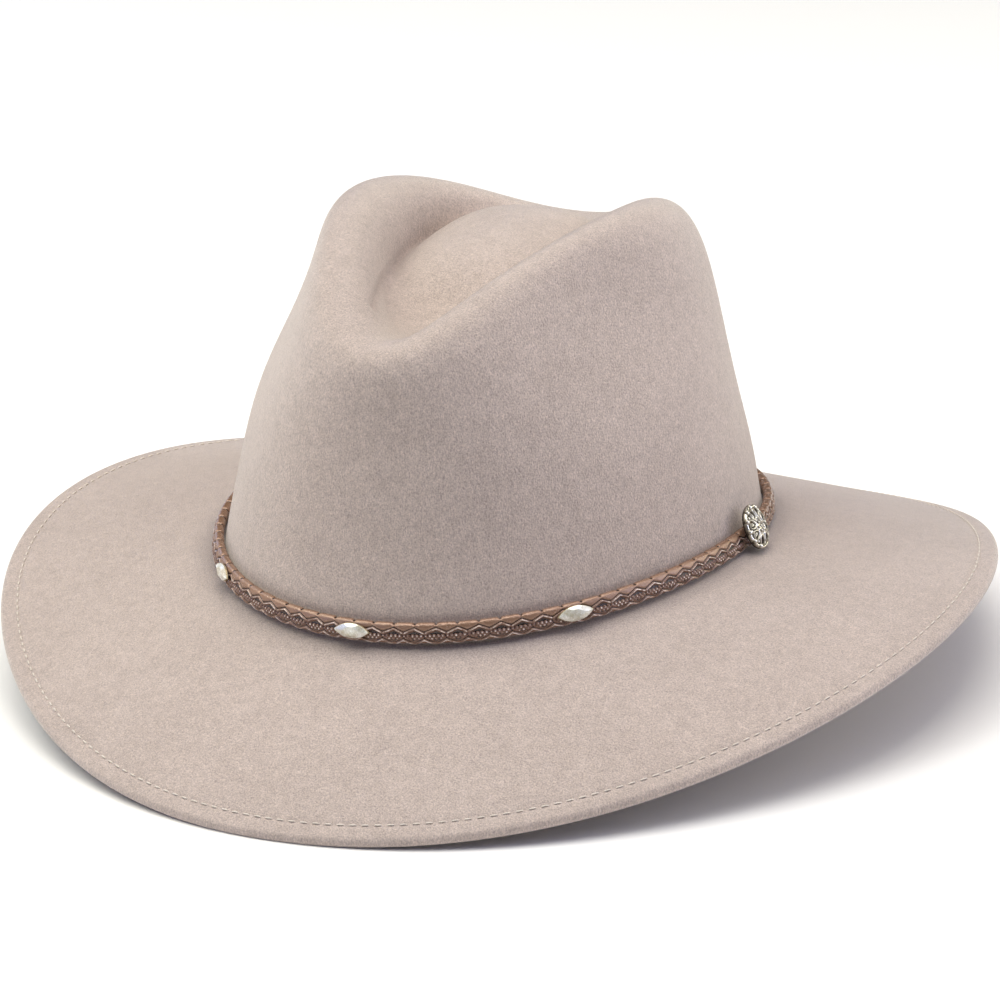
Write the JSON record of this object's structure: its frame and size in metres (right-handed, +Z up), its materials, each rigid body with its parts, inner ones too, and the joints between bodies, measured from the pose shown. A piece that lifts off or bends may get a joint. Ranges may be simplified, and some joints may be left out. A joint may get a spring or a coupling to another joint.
{
  "type": "outback hat",
  "caption": "Felt outback hat with a creased, front-pinched crown, a dipped brim with a folded edge, and an embossed band with metal trims.",
  "frame": {"origin": "on the surface that the hat stands on, under the middle of the brim", "axes": "+Z up, -Y to the front of the hat, +X to the wearer's left"},
  "size_m": [0.3354, 0.3515, 0.1544],
  "materials": {
    "felt": "brushed wool felt, light taupe",
    "band_leather": "embossed copper-brown leather with a low gloss",
    "spot_metal": "faceted champagne plating",
    "concho_metal": "antique silver, darkened in the recesses"
  },
  "bodies": {
    "root": {"felt_body": "felt", "hat_band": "band_leather", "front_spot": "spot_metal", "left_spot": "spot_metal", "right_spot": "spot_metal", "concho": "concho_metal"}
  },
  "joints": []
}
